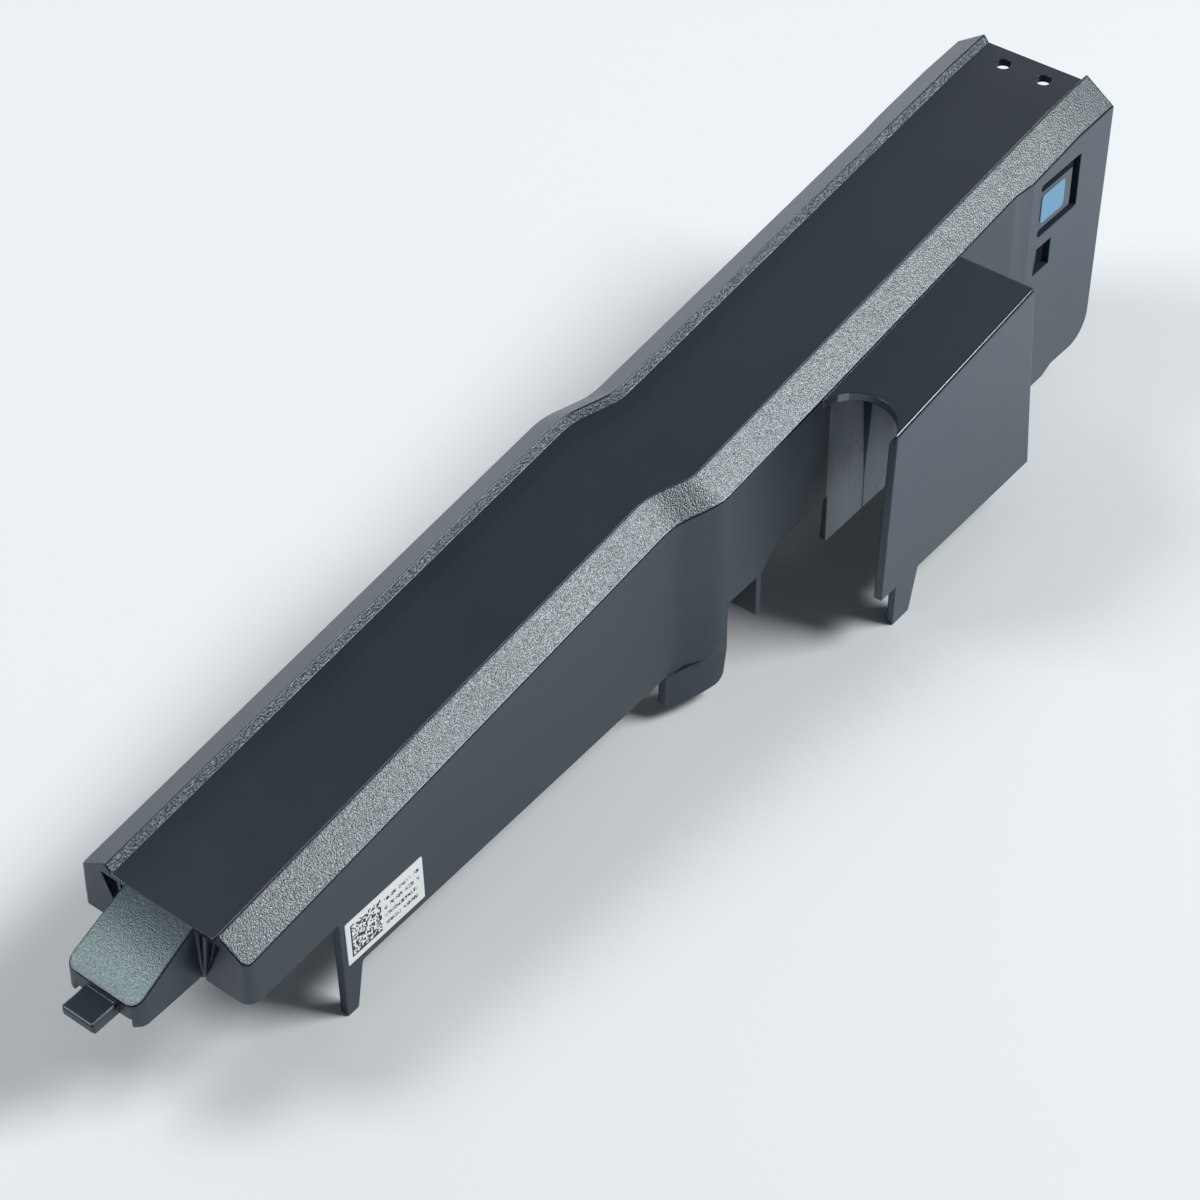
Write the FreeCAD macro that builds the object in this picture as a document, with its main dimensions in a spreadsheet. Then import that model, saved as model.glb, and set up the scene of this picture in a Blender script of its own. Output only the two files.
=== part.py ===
"""Air baffle shroud of a server: one moulding that stands over the board and guides the cooling air,
with a sticker label on its side wall and a coloured touch mark on its latch.

The moulding is a long trough, open below. Its roof rises from the near end to the far end, and halfway
along the whole section jogs sideways. X runs along the trough from the near end to the far end, Y to the
plain side, Z up from the board. Lengths are in millimetres, angles in degrees.
"""
import FreeCAD
import Part
import math
import os
from FreeCAD import Placement, Rotation, Vector

doc = FreeCAD.newDocument("air_baffle_shroud")
sheet = doc.addObject("Spreadsheet::Sheet", "Sizes")

SIZES = (
    ("beam_length", 321.3, "near end to far end of the roof"),
    ("rise_angle", 7.64, "slope of the roof"),
    ("ridge_height", 44.6, "top of the ridges at the near end"),
    ("ridge_half", 15.6, "centre line to a ridge"),
    ("floor_half", 14.2, "centre line to the edge of the sunk floor"),
    ("floor_depth", 2.04, "sunk floor below the ridges"),
    ("edge_half", 23.15, "centre line to the edge between slope and side wall"),
    ("edge_drop", 5, "that edge below the ridges"),
    ("wall_draft", 1.66, "side walls flare out downwards"),
    ("wall", 2, "wall thickness"),
    ("right_corner_radius", 4, "upright corner at the near end, hood side"),
    ("right_top_radius", 2, "its radius at the top, from where it widens downwards"),
    ("left_corner_radius", 1.2, "upright corner at the near end, plain side"),
    ("jog_offset", 5.1, "sideways jog of the section"),
    ("jog_length", 18.5, "length of the jog along the trough"),
    ("jog_radius", 16, "radius of the two bends of the jog"),
    ("jog_right_start", 139.5, "start of the jog on the hood side"),
    ("jog_left_start", 150, "start of the jog on the plain side"),
    ("cheek_setback", 44.3, "where the side walls begin to step out, in front of the far end"),
    ("cheek_run", 7, "length of that step"),
    ("cheek_outset", 0.85, "how far the hood side's wall steps out"),
    ("cheek_end_outset", 1.15, "its outset at the far end"),
    ("left_near_outset", 0.2, "plain side's edge out of line at the near end"),
    ("left_jog_outset", -0.2, "the same at the jog"),
    ("left_far_outset", -0.4, "the same before the cheek"),
    ("left_cheek_outset", 0.05, "the same past the cheek"),
    ("left_lean", 0.27, "plain side's far half turned towards the hood side"),
    ("droop_length", 16.3, "last stretch of the roof, which bends down"),
    ("droop", 0.9, "how far it bends down"),
    ("end_lean", 1.3, "top of the far end overhangs its foot"),
    ("near_bottom", 27.6, "wall bottom at the near end"),
    ("near_bottom_rise", 1.8, "higher at the first leg by this"),
    ("middle_bottom", 12.9, "wall bottom behind the first leg"),
    ("middle_bottom_rise", 1.4, "higher at the foot by this"),
    ("leg_start", 26.8, "near side of the first leg"),
    ("leg_top_width", 6, "first leg where it leaves the wall"),
    ("leg_tip_width", 3.4, "first leg at its tip"),
    ("foot_start", 140.3, "near side of the foot under the jog"),
    ("foot_end", 157.5, "far side of that foot"),
    ("foot_bottom", 4.5, "bottom of the foot"),
    ("foot_radius", 3, "rounding of the foot"),
    ("foot_bow", 1.2, "how far the foot's face bows outwards at its bottom"),
    ("foot_top_bow", 0.3, "the same at its top"),
    ("gap_bottom", 28, "wall bottom behind the foot"),
    ("gap_end", 171.4, "where that edge starts to rise"),
    ("rise_run", 6, "length of its rise"),
    ("raised_bottom", 33.7, "wall bottom up to the duct"),
    ("duct_start", 198, "near end of the deeper wall inside the hood"),
    ("duct_bottom", 19.3, "bottom of that wall"),
    ("duct_wall", 1.1, "thickness of that wall"),
    ("duct_setback", 57.3, "where the wall goes down to the tail, in front of the far end"),
    ("tail_bottom", 8.3, "wall bottom towards the far end"),
    ("tail_length", 47.3, "length of the wall from there to the far end"),
    ("tip_length", 18.3, "last stretch of the bottom edge"),
    ("tip_bottom", 10, "its height"),
    ("tail_radius", 8, "rounded lower corner at the far end"),
    ("rear_leg_start", 200.8, "near side of the rear legs"),
    ("rear_leg_top_width", 10.2, "rear legs where they leave the wall"),
    ("rear_leg_tip_width", 7.6, "rear legs at the tip"),
    ("edge_radius", 1, "small roundings of the wall bottoms"),
    ("hood_start", 194, "near edge of the hood"),
    ("hood_length", 58.6, "length of the hood's top"),
    ("hood_end_angle", 8.8, "lean of the hood's far end"),
    ("hood_outer", 49.2, "centre line to the hood's outer face"),
    ("hood_wall", 2.2, "wall thickness of the hood"),
    ("hood_drop", 5.35, "top of the hood below the ridges"),
    ("hood_bottom", 13.7, "bottom edge of the hood at its near edge"),
    ("hood_bottom_fall", 0.6, "lower at the hood's far end by this"),
    ("hood_edge_radius", 1, "rounded outer edges of the hood"),
    ("notch_radius", 10.3, "round cable notch in the hood's top"),
    ("notch_setback", 2.6, "notch centre in front of the hood's near edge"),
    ("hood_leg_inset", 0.4, "hood's leg behind the hood's outer face"),
    ("nose_length", 18.5, "nose in front of the near end"),
    ("nose_half", 10.2, "half width of the nose at its ramp"),
    ("nose_shift", 0.5, "nose off the centre line towards the plain side"),
    ("nose_flare", 0.6, "nose wider by this at its foot"),
    ("nose_tip_height", 34.2, "top of the nose's front wall"),
    ("nose_bottom", 28.2, "foot of the nose's walls"),
    ("nose_corner_radius", 3, "upright corners of the nose"),
    ("nose_notch_half", 8, "half width of the notch under the front wall"),
    ("nose_notch_height", 2.2, "height of that notch"),
    ("tongue_reach", 7.1, "tongue in front of the nose"),
    ("tongue_root", 5, "tongue behind the nose's front face"),
    ("tongue_width", 9, "width of the tongue"),
    ("tongue_top", 32.7, "top of the tongue"),
    ("tongue_thickness", 2.8, "thickness of the tongue"),
    ("tongue_chamfer", 0.5, "bevelled edges of the tongue"),
    ("pocket_top_radius", 3.1, "mouth of the corner pockets beside the nose"),
    ("pocket_foot_radius", 0.5, "foot of those pockets"),
    ("pocket_skin", 1.4, "wall thickness around the pockets"),
    ("gusset", 0.9, "thickness of the small rib in each pocket"),
    ("gusset_lean", 1, "how far that rib leans away from the nose"),
    ("rib_start", 169, "cross rib under the roof"),
    ("rib_thickness", 2, "thickness of the cross rib"),
    ("rib_reach", 14, "cross rib inwards from the wall"),
    ("rib_bottom", 16.2, "bottom of the cross rib"),
    ("screw_hole", 4.2, "diameter of the two holes at the far end"),
    ("screw_pitch", 12, "distance between them"),
    ("screw_setback", 5.8, "hole centres in front of the far end"),
    ("screw_shift", 5.65, "middle of the two holes off the near half's centre line"),
    ("latch_setback", 33.3, "root of the latch, where its slot ends, in front of the far end"),
    ("latch_slot_length", 19, "length of the slot's outer outline"),
    ("latch_slot_bottom", 58.5, "bottom of that outline"),
    ("latch_slot_height", 15.7, "height of that outline"),
    ("latch_tab_length", 15.1, "free length of the latch"),
    ("latch_tab_bottom", 60.9, "bottom edge of the latch"),
    ("latch_tab_height", 11.3, "height of the latch"),
    ("latch_corner_radius", 1.1, "corners of the slot"),
    ("window_setback", 33.6, "near edge of the catch window, in front of the far end"),
    ("window_size", 7.8, "width and height of the window"),
    ("window_bottom", 47.1, "bottom of the window"),
    ("ledge_reach", 3.4, "catch ledge behind the window"),
    ("ledge_width", 3, "width of that ledge along the wall"),
    ("guard", 1.3, "thickness of the plate that hangs behind the latch and the window"),
    ("guard_drop", 8, "how far that plate reaches below the window"),
    ("guard_setback", 6, "its far edge in front of the far end"),
    ("label_start", 28.4, "near edge of the label"),
    ("label_bottom", 14.9, "bottom edge of the label"),
    ("label_length", 24.8, "length of the label"),
    ("label_height", 12.7, "height of the label"),
    ("label_thickness", 0.15, "thickness of the label"),
    ("label_turn", 0.5, "how far the label is stuck on askew"),
    ("label_radius", 0.3, "corners of the label"),
    ("mark_setback", 32.7, "near edge of the touch mark, in front of the far end"),
    ("mark_bottom", 62.6, "bottom edge of the touch mark"),
    ("mark_length", 11.1, "length of the touch mark"),
    ("mark_height", 8.3, "height of the touch mark"),
    ("mark_thickness", 0.2, "thickness of the touch mark"),
    ("mark_radius", 1.3, "corners of the touch mark"),
)
for row, (alias, value, note) in enumerate(SIZES, 1):
    sheet.set(f"A{row}", alias)
    sheet.set(f"B{row}", str(value))
    sheet.set(f"C{row}", note)
    sheet.setAlias(f"B{row}", alias)
doc.recompute()


def size(alias):
    return float(sheet.get(alias))


RIGHT = -1
LEFT = 1
RISE = math.tan(math.radians(size("rise_angle")))
DRAFT = math.tan(math.radians(size("wall_draft")))
SLOPE = size("edge_drop") / (size("edge_half") - size("ridge_half"))
HIGHEST = size("ridge_height") + size("beam_length") * RISE
CLEAR = 10


def from_far_end(setback):
    """Station of something that keeps its distance from the far end."""
    return size("beam_length") - size(setback)


def ridge_top(x):
    return size("ridge_height") + x * RISE


def along(x):
    """Vector from the near end along the sloping roof to the station x."""
    return Vector(x, 0, x * RISE)


def wall_y(side, x, z, outset=0):
    """Y of a side wall's outer face at station x and height z, past the jog for the hood side's far half."""
    jogged = x > size("jog_right_start") + size("jog_length") / 2
    shift = -size("jog_offset") if jogged else 0
    depth = ridge_top(x) - size("edge_drop") - outset * SLOPE - z
    return shift + side * (size("edge_half") + outset + DRAFT * depth)


# Outlines


def rounded(corners, place):
    """Closed wire through the corners (a, b, radius), each of them rounded, set in space by place(a, b)."""
    count = len(corners)
    cuts = []
    for i, (a, b, radius) in enumerate(corners):
        here = Vector(a, b, 0)
        back = Vector(corners[i - 1][0], corners[i - 1][1], 0) - here
        ahead = Vector(corners[(i + 1) % count][0], corners[(i + 1) % count][1], 0) - here
        back.normalize()
        ahead.normalize()
        if radius == 0:
            cuts.append((here, None, here))
            continue
        half = back.getAngle(ahead) / 2
        reach = radius / math.tan(half)
        middle = (back + ahead).normalize()
        crown = here + middle * (radius / math.sin(half) - radius)
        cuts.append((here + back * reach, crown, here + ahead * reach))
    edges = []
    for i, (first, crown, last) in enumerate(cuts):
        if crown is not None:
            bend = Part.Arc(place(first.x, first.y), place(crown.x, crown.y), place(last.x, last.y))
            edges.append(bend.toShape())
        following = cuts[(i + 1) % count][0]
        edges.append(Part.LineSegment(place(last.x, last.y), place(following.x, following.y)).toShape())
    return Part.Wire(edges)


def side_plate(corners, y_from, y_to):
    """Plate with a side outline (x, z, radius), between two planes of constant y."""
    wire = rounded(corners, lambda a, b: Vector(a, y_from, b))
    return Part.Face(wire).extrude(Vector(0, y_to - y_from, 0))


def offset_line(points, distance):
    """Open line of straight runs, moved sideways by distance, with its ends kept square."""
    moved = []
    normals = []
    for (a0, b0), (a1, b1) in zip(points, points[1:]):
        length = math.hypot(a1 - a0, b1 - b0)
        normals.append(((b1 - b0) / length, (a0 - a1) / length))
    for i, (a, b) in enumerate(points):
        n0 = normals[max(i - 1, 0)]
        n1 = normals[min(i, len(normals) - 1)]
        scale = distance / (1 + n0[0] * n1[0] + n0[1] * n1[1])
        moved.append((a + (n0[0] + n1[0]) * scale, b + (n0[1] + n1[1]) * scale))
    return moved


# Flanks of the trough


def flank_section(side, inset, outset=0):
    """Half section of the trough at the near end: floor, ridge, slope and side wall, moved in by inset."""
    middle = size("floor_half") - 2 * CLEAR / 3
    depth = HIGHEST + CLEAR
    foot = size("edge_half") + outset + DRAFT * depth
    line = [
        (-middle, -size("floor_depth")),
        (size("floor_half"), -size("floor_depth")),
        (size("ridge_half"), 0),
        (size("edge_half") + outset, -size("edge_drop") - outset * SLOPE),
        (foot, -size("edge_drop") - outset * SLOPE - depth),
    ]
    line = offset_line(line, inset)
    line.append((line[0][0], line[-1][1]))
    return [Vector(0, side * y, size("ridge_height") + z) for y, z in line]


def jog_turn():
    """Angle of the jog's two bends, for its offset, its length and their radius."""
    low, high = 0.05, 1.3
    offset, run, radius = size("jog_offset"), size("jog_length"), size("jog_radius")
    for _ in range(50):
        turn = (low + high) / 2
        straight = (offset - 2 * radius * (1 - math.cos(turn))) / math.sin(turn)
        if 2 * radius * math.sin(turn) + straight * math.cos(turn) > run:
            low = turn
        else:
            high = turn
    return turn, straight


def jog_path(jog):
    """Line that a flank follows through the jog: a bend, a straight and a bend back, on the roof's slope."""
    radius, offset, run = size("jog_radius"), size("jog_offset"), size("jog_length")
    turn, straight = jog_turn()

    def place(x, y):
        return along(jog + x) + Vector(0, y, 0)

    def bend(angle):
        return radius * math.sin(angle), radius * (1 - math.cos(angle))

    half_x, half_y = bend(turn / 2)
    full_x, full_y = bend(turn)
    middle_x = full_x + straight * math.cos(turn)
    middle_y = full_y + straight * math.sin(turn)
    first_stop = place(full_x, -full_y)
    last_stop = place(middle_x, -middle_y)
    first = Part.Arc(place(0, 0), place(half_x, -half_y), first_stop)
    second = Part.Arc(last_stop, place(run - half_x, half_y - offset), place(run, -offset))
    return Part.Wire([first.toShape(), Part.LineSegment(first_stop, last_stop).toShape(), second.toShape()])


def flank(side, inset, start, end):
    """One half of the trough, solid, with its outer faces moved in by inset."""
    if side == RIGHT:
        jog = size("jog_right_start")
        outsets = (0, 0, 0, size("cheek_outset"), size("cheek_end_outset"))
        lean = 0
    else:
        jog = size("jog_left_start")
        outsets = [size(f"left_{place}_outset") for place in ("near", "jog", "far", "cheek", "cheek")]
        lean = math.tan(math.radians(size("left_lean")))
    jog_end = jog + size("jog_length")
    cheek_start = from_far_end("cheek_setback")
    cheek_end = cheek_start + size("cheek_run")
    droop_start = from_far_end("droop_length")
    beyond = (end - droop_start) / size("droop_length")

    def section(x, outset, sag=0):
        loop = flank_section(side, inset, outset)
        loop.append(loop[0])
        wire = Part.makePolygon(loop)
        shift = 0 if x <= jog else -size("jog_offset") - lean * (x - jog_end)
        wire.translate(along(x) + Vector(0, shift, -sag))
        return wire

    near = [section(start, outsets[0]), section(jog, outsets[1])]
    far = [
        section(jog_end, outsets[1]),
        section(cheek_start, outsets[2]),
        section(cheek_end, outsets[3]),
        section(droop_start, outsets[3]),
        section(end, outsets[3] + (outsets[4] - outsets[3]) * beyond, size("droop") * beyond),
    ]
    sweep = Part.BRepOffsetAPI.MakePipeShell(jog_path(jog))
    sweep.setTrihedronMode(Vector(), Vector(0, 0, 1))
    sweep.add(near[1], False, False)
    sweep.build()
    sweep.makeSolid()
    lofts = [Part.makeLoft(list(pair), True, True) for pair in zip(far, far[1:])]
    return Part.makeLoft(near, True, True).fuse([sweep.shape()] + lofts)


def upright_edges(shape, side, x_at):
    """Upright outer edge of the trough's near end on one side."""
    found = []
    for edge in shape.Edges:
        box = edge.BoundBox
        upright = box.ZLength > 2 * CLEAR and box.XLength < 0.1 and abs(box.XMin - x_at) < 0.1
        if upright and side * box.YMin > size("ridge_half"):
            found.append(edge)
    return found


def feature(name, shape):
    item = doc.addObject("Part::Feature", name)
    item.Shape = shape
    return item


def trough(inset, start):
    end = size("beam_length") + CLEAR
    shape = flank(RIGHT, inset, start, end).fuse(flank(LEFT, inset, start, end)).removeSplitter()
    if inset > 0:
        return shape.makeFillet(size("right_corner_radius") - inset, upright_edges(shape, RIGHT, start))
    shape = shape.makeFillet(size("left_corner_radius"), upright_edges(shape, LEFT, start))
    visible = size("ridge_height") - size("edge_drop") - size("near_bottom")
    edge = upright_edges(shape, RIGHT, start)[0]
    top_radius = size("right_top_radius")
    low_radius = top_radius + (size("right_corner_radius") - top_radius) * edge.Length / visible
    return shape.makeFillet(top_radius, low_radius, [edge])


outside = feature("trough_outside", trough(0, 0))


# Side outlines: what is cut away below the walls


def leg(start, top_width, tip_width, top_z):
    """Corners of a tapered leg that reaches down to the board."""
    lip = size("edge_radius")
    return [
        (start, 0, lip / 2),
        (start + tip_width, 0, lip / 2),
        (start + top_width, top_z, lip),
    ]


def outer_outline(corners):
    """Closed outline of all that lies below a wall's bottom edge and beyond the far end."""
    first_x, last_x = -size("nose_length") - 2 * CLEAR, size("beam_length") + 2 * CLEAR
    low, high = -HIGHEST, HIGHEST + CLEAR
    end_top = size("beam_length") + size("end_lean") * CLEAR / HIGHEST
    ends = [
        (end_top, high, 0),
        (last_x, high, 0),
        (last_x, low, 0),
        (first_x, low, 0),
        (first_x, corners[0][1], 0),
    ]
    return corners + ends


small = size("edge_radius")
first_leg = leg(size("leg_start"), size("leg_top_width"), size("leg_tip_width"), size("middle_bottom"))
rear_leg = leg(
    size("rear_leg_start"), size("rear_leg_top_width"), size("rear_leg_tip_width"), size("middle_bottom")
)
near_edge = [
    (0, size("near_bottom"), 0),
    (size("leg_start"), size("near_bottom") + size("near_bottom_rise"), small),
] + first_leg
middle_end = size("middle_bottom") + size("middle_bottom_rise")
foot_x = size("beam_length") - size("end_lean")
tip_start = from_far_end("tip_length")
duct_end = from_far_end("duct_setback")
tail_edge = [
    (from_far_end("tail_length"), size("tail_bottom"), 4 * small),
    (tip_start - 4 * small, size("tail_bottom"), 2 * small),
    (tip_start, size("tip_bottom"), 2 * small),
    (foot_x, size("tip_bottom"), size("tail_radius")),
]
right_edge = (
    near_edge
    + [
        (size("foot_start"), middle_end, 0),
        (size("foot_end"), middle_end, 0),
        (size("foot_end"), size("gap_bottom"), small / 2),
        (size("gap_end"), size("gap_bottom"), 2 * small),
        (size("gap_end") + size("rise_run"), size("raised_bottom"), 2 * small),
        (size("duct_start"), size("raised_bottom"), 0),
        (size("duct_start"), size("duct_bottom"), small / 2),
        (duct_end, size("duct_bottom"), 4 * small),
    ]
    + tail_edge
)
left_edge = (
    near_edge
    + [(size("rear_leg_start"), middle_end, small)]
    + rear_leg
    + tail_edge
)
reach = size("hood_outer") + CLEAR
below_right = feature("below_right_wall", side_plate(outer_outline(right_edge), -reach, 0))
below_left = feature("below_left_wall", side_plate(outer_outline(left_edge), 0, reach))


def foot_plate():
    """Foot under the jog: an upright plate with a bowed face, from the wall's bottom edge down."""
    start = Vector(size("foot_start"), wall_y(RIGHT, size("foot_start"), middle_end), 0)
    end = Vector(size("foot_end"), wall_y(RIGHT, size("foot_end"), middle_end), 0)
    chord = (end - start).normalize()
    inwards = Vector(0, size("wall"), 0)

    def outline(z, bow):
        crown = (start + end) / 2 + Vector(chord.y, -chord.x, 0) * bow
        wire = Part.Wire(
            [
                Part.Arc(start, crown, end).toShape(),
                Part.LineSegment(end, end + inwards).toShape(),
                Part.Arc(end + inwards, crown + inwards, start + inwards).toShape(),
                Part.LineSegment(start + inwards, start).toShape(),
            ]
        )
        wire.translate(Vector(0, 0, z))
        return wire

    loops = [outline(size("foot_bottom"), size("foot_bow")), outline(middle_end, size("foot_top_bow"))]
    upright = Part.makeLoft(loops, True, True)
    side_corners = [
        (size("foot_start"), middle_end, 0),
        (size("foot_start"), size("foot_bottom"), small / 2),
        (size("foot_end") - small, size("foot_bottom"), size("foot_radius")),
        (size("foot_end"), middle_end, 0),
    ]
    return upright.common(side_plate(side_corners, -reach, 0))


foot = feature("foot", foot_plate())


# Nose at the near end, with its ramp, and the tongue


def nose_block(inset, back):
    """Tapered block with rounded front corners, cut off along the ramp."""
    foot_z = size("nose_bottom") - (CLEAR if inset else 0)
    head_z = size("ridge_height") + CLEAR

    def loop(z):
        above = size("nose_tip_height") - z
        spread = size("nose_flare") * above / (size("nose_tip_height") - size("nose_bottom"))
        half = size("nose_half") + spread / 2 - inset
        front = -size("nose_length") + inset
        corner = size("nose_corner_radius") - inset
        low_y, high_y = size("nose_shift") - half, size("nose_shift") + half
        corners = [(back, low_y, 0), (back, high_y, 0), (front, high_y, corner), (front, low_y, corner)]
        return rounded(corners, lambda a, b: Vector(a, b, z))

    block = Part.makeLoft([loop(foot_z), loop(head_z)], True, True)
    floor_z = ridge_top(0) - size("floor_depth")
    fall = (floor_z - size("nose_tip_height")) / size("nose_length")
    down = inset * math.hypot(1, fall)
    far_x = size("nose_length") + CLEAR
    above = [
        (-far_x, floor_z - far_x * fall - down, 0),
        (0, floor_z - down, 0),
        (far_x, floor_z + far_x * RISE - down, 0),
        (far_x, 3 * head_z, 0),
        (-far_x, 3 * head_z, 0),
    ]
    return block.cut(side_plate(above, -reach, reach))


nose = feature("nose_outside", nose_block(0, size("wall")))
nose_hollow = feature("nose_inside", nose_block(size("wall"), size("wall") + 1))

nose_notch = doc.addObject("Part::Box", "nose_notch")
nose_notch.setExpression("Length", "Sizes.wall + 2")
nose_notch.setExpression("Width", "2 * Sizes.nose_notch_half")
nose_notch.setExpression("Height", "Sizes.nose_notch_height")
nose_notch.setExpression("Placement.Base.x", "-Sizes.nose_length - 1")
nose_notch.setExpression("Placement.Base.y", "-Sizes.nose_notch_half")
nose_notch.setExpression("Placement.Base.z", "Sizes.nose_bottom")

tongue_block = doc.addObject("Part::Box", "tongue_block")
tongue_block.setExpression("Length", "Sizes.tongue_reach + Sizes.tongue_root")
tongue_block.setExpression("Width", "Sizes.tongue_width")
tongue_block.setExpression("Height", "Sizes.tongue_thickness")
tongue_block.setExpression("Placement.Base.x", "-Sizes.nose_length - Sizes.tongue_reach")
tongue_block.setExpression("Placement.Base.y", "-Sizes.tongue_width / 2")
tongue_block.setExpression("Placement.Base.z", "Sizes.tongue_top - Sizes.tongue_thickness")
doc.recompute()


def bevelled(item, name, bevel, wanted):
    """Chamfer of the edges of a block that the test wants."""
    chamfer = doc.addObject("Part::Chamfer", name)
    chamfer.Base = item
    picked = [i for i, edge in enumerate(item.Shape.Edges, 1) if wanted(edge)]
    chamfer.Edges = [(i, bevel, bevel) for i in picked]
    return chamfer


def at_tip(edge):
    """Edges round the tongue's free end and along its top."""
    box = edge.BoundBox
    front = box.XMax < -size("nose_length") - size("tongue_reach") + 0.01
    return front or (box.ZMin > size("tongue_top") - 0.01 and box.YLength < 0.01)


tongue = bevelled(tongue_block, "tongue", size("tongue_chamfer"), at_tip)


# Corner pockets between the nose and the near end wall


def nose_side(side):
    return size("nose_shift") + side * size("nose_half")


def pocket(side, skin):
    """Leaning cone in the corner beside the nose, wide under the roof and pointed at the foot."""
    mouth_z = ridge_top(0) - size("floor_depth") - size("wall") / 2
    foot_z = size("near_bottom")
    loops = []
    for z, radius in ((foot_z - (CLEAR if skin == 0 else 0), size("pocket_foot_radius")),
                      (foot_z + small, size("pocket_foot_radius")),
                      (mouth_z, size("pocket_top_radius"))):
        centre = Vector(0, nose_side(side) + side * (size("nose_flare") / 2 + radius), z)
        loops.append(Part.Wire(Part.makeCircle(radius + skin, centre)))
    return Part.makeLoft(loops, True, True)


def gusset(side):
    """Thin rib that stands in a corner pocket and leans away from the nose."""
    low, high = size("near_bottom") + small, ridge_top(0) - size("floor_depth") - size("wall") / 4
    front, back = small / 4, size("pocket_top_radius") + size("pocket_skin") / 2
    root_y = nose_side(side) + side * size("nose_flare") / 2
    far_y = root_y + side * size("gusset")
    foot_corners = [(front, root_y), (back, root_y), (back, far_y), (front, far_y), (front, root_y)]
    foot_wire = Part.makePolygon([Vector(x, y, low) for x, y in foot_corners])
    return Part.Face(foot_wire).extrude(Vector(0, side * size("gusset_lean"), high - low))


skins = [pocket(side, size("pocket_skin")).fuse(gusset(side)).common(outside.Shape) for side in (RIGHT, LEFT)]
hollows = [pocket(side, 0).cut(gusset(side)) for side in (RIGHT, LEFT)]
pockets = feature("pockets", Part.makeCompound(hollows))
inside = feature("trough_inside", trough(size("wall"), size("wall")).cut(skins))


# Hood on the side, with its round cable notch and its leg

hood_end = size("hood_start") + size("hood_length")


def hood_block(inset):
    """Side outline of the hood or of its hollow, carried from the outer face into the trough's wall."""
    lean = math.tan(math.radians(size("hood_end_angle")))
    drop = size("hood_drop") + inset * math.hypot(1, RISE)
    beyond = CLEAR if inset else 0
    near = size("hood_start") - beyond
    far_top = hood_end - inset
    top_z = ridge_top(far_top) - drop
    far_z = size("hood_bottom") - size("hood_bottom_fall") - beyond
    corners = [
        (near, size("hood_bottom") - beyond, 0),
        (far_top + (top_z - far_z) * lean, far_z, 0),
        (far_top, top_z, 0 if inset else size("hood_edge_radius")),
        (near, ridge_top(near) - drop, 0),
    ]
    root_y = -size("edge_half") - size("jog_offset") + size("wall") / 4
    return side_plate(corners, -size("hood_outer") + inset, root_y)


def hood_outer_edges(shape):
    """Edges of the hood's outer face along its top and its far end."""
    found = []
    for edge in shape.Edges:
        box = edge.BoundBox
        if box.YMax < -size("hood_outer") + 0.01:
            sloping_top = box.ZMin > size("hood_bottom") + CLEAR
            far_end = box.XMin > hood_end - CLEAR
            if sloping_top or far_end:
                found.append(edge)
    return found


hood_shell = hood_block(0)
hood_shell = hood_shell.makeFillet(size("hood_edge_radius") * 0.9, hood_outer_edges(hood_shell))
hood_shape = feature("hood_outside", hood_shell)
hood_space = feature("hood_inside", hood_block(size("hood_wall")))

hood_leg_corners = [
    (size("rear_leg_start"), size("hood_bottom") + CLEAR, 0),
    (size("rear_leg_start") + small / 2, 0, small / 2),
    (size("rear_leg_start") + size("rear_leg_tip_width"), 0, small / 2),
    (size("rear_leg_start") + size("rear_leg_top_width"), size("hood_bottom"), 0),
    (size("rear_leg_start") + size("rear_leg_top_width"), size("hood_bottom") + CLEAR, 0),
]
leg_face = -size("hood_outer") + size("hood_leg_inset")
hood_leg = feature(
    "hood_leg",
    side_plate(hood_leg_corners, leg_face, -size("hood_outer") + size("hood_wall")),
)

notch = doc.addObject("Part::Cylinder", "cable_notch")
notch.setExpression("Radius", "Sizes.notch_radius")
notch.setExpression("Height", "Sizes.hood_drop + 2 * Sizes.hood_wall")
notch.setExpression("Placement.Base.x", "Sizes.hood_start - Sizes.notch_setback")
notch.setExpression(
    "Placement.Base.y",
    "-(Sizes.hood_outer - Sizes.hood_wall / 4 + Sizes.edge_half + Sizes.jog_offset) / 2",
)
notch.Placement.Base.z = ridge_top(size("hood_start")) - size("hood_drop") - 1.25 * size("hood_wall")


# Ribs, ledge, holes and slots


def cross_rib(side):
    """Cross rib that hangs inside one wall and reaches below its bottom edge."""
    outer_y = wall_y(side, size("rib_start"), size("rib_bottom"))
    corners = [
        (size("rib_start"), size("rib_bottom"), 0),
        (size("rib_start") + size("rib_thickness"), size("rib_bottom"), 0),
        (size("rib_start") + size("rib_thickness"), ridge_top(size("rib_start")) - size("wall"), 0),
        (size("rib_start"), ridge_top(size("rib_start")) - size("wall"), 0),
    ]
    return side_plate(corners, outer_y, outer_y - side * (size("rib_reach") + size("wall")))


ribs = feature("cross_ribs", cross_rib(RIGHT).fuse(cross_rib(LEFT)).common(outside.Shape))

ledge_top = size("window_bottom") + size("window_size")
window_start = from_far_end("window_setback")
ledge_y = wall_y(RIGHT, window_start, ledge_top, size("cheek_outset")) + size("wall") / 2
ledge = feature(
    "catch_ledge",
    side_plate(
        [
            (window_start - size("ledge_width") / 2, size("window_bottom") - small, 0),
            (window_start + size("ledge_width"), size("window_bottom") - small, 0),
            (window_start + size("ledge_width"), ledge_top, 2 * small),
            (window_start - size("ledge_width") / 2, ledge_top + small, 0),
        ],
        ledge_y,
        ledge_y + size("ledge_reach"),
    ),
)


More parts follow.
